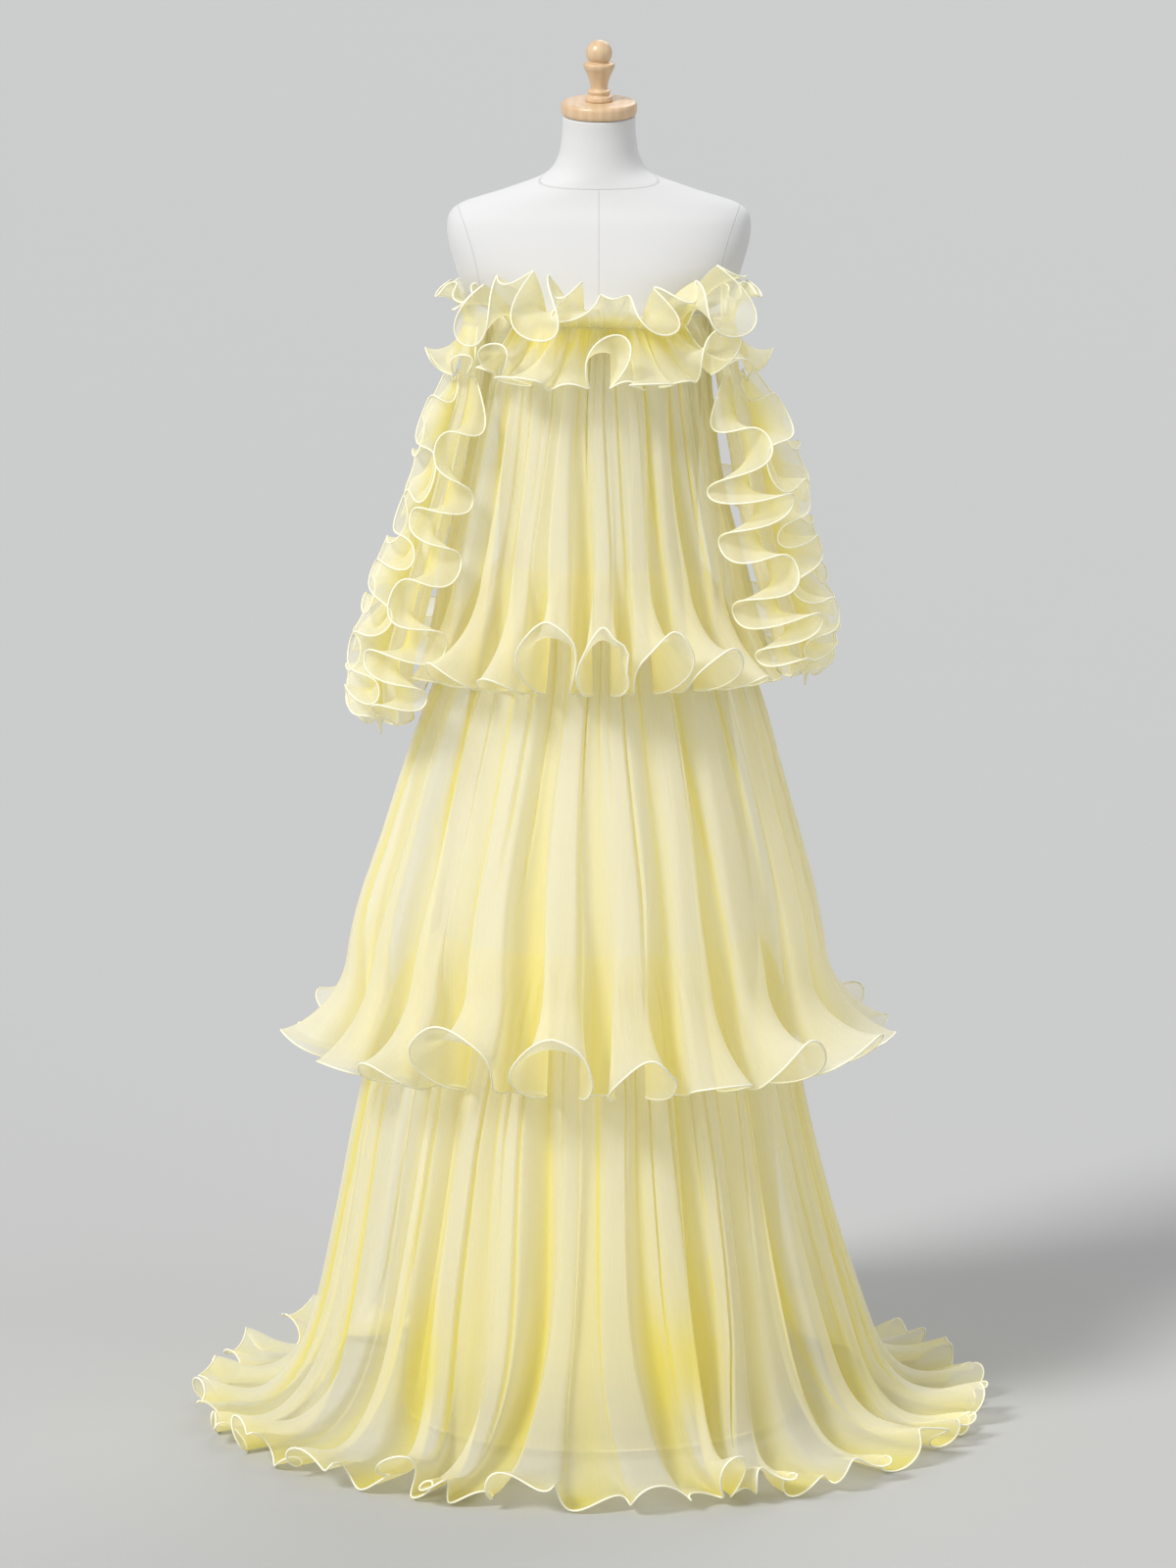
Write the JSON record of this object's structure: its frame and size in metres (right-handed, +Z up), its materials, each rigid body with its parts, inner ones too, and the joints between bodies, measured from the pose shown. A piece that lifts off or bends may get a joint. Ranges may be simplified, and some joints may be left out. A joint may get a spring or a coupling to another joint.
{
  "type": "evening dress on a limbless dress form",
  "caption": "Off-shoulder evening dress of sheer yellow organza, with flared tiers, ruffled neck and hanging ruffled sleeves, on a limbless dress form with a wooden neck cap.",
  "frame": {"origin": "centre of the stand's underside, on the floor under the middle of the dress form", "axes": "+Z up through the dress form, -Y towards the front of the dress, +X to the right as seen from the front"},
  "size_m": [1.0229, 1.0659, 1.783],
  "materials": {
    "form_linen": "white linen cover, matte",
    "maple": "light maple, satin",
    "stand_steel": "grey powder coat",
    "slip_cloth": "pale yellow organza over organza, matte",
    "organza": "pale yellow sheer organza with a rolled hem"
  },
  "bodies": {
    "root": {"form_torso": "form_linen", "neck_cap": "maple", "finial": "maple", "stand_base": "stand_steel", "stand_pole": "stand_steel", "slip": "slip_cloth", "tier_1_front": "organza", "tier_1_back": "organza", "tier_2_front": "organza", "tier_2_back": "organza", "tier_3_front": "organza", "tier_3_back": "organza", "neck_ruffle_upper_front": "organza", "neck_ruffle_upper_back": "organza", "neck_ruffle_lower_front": "organza", "neck_ruffle_lower_back": "organza", "sleeve_left": "organza", "sleeve_left_ruffle_1": "organza", "sleeve_left_ruffle_2": "organza", "sleeve_left_ruffle_3": "organza", "sleeve_left_ruffle_4": "organza", "sleeve_left_ruffle_5": "organza", "sleeve_left_ruffle_6": "organza", "sleeve_left_ruffle_7": "organza", "sleeve_right": "organza", "sleeve_right_ruffle_1": "organza", "sleeve_right_ruffle_2": "organza", "sleeve_right_ruffle_3": "organza", "sleeve_right_ruffle_4": "organza", "sleeve_right_ruffle_5": "organza", "sleeve_right_ruffle_6": "organza", "sleeve_right_ruffle_7": "organza"}
  },
  "joints": []
}
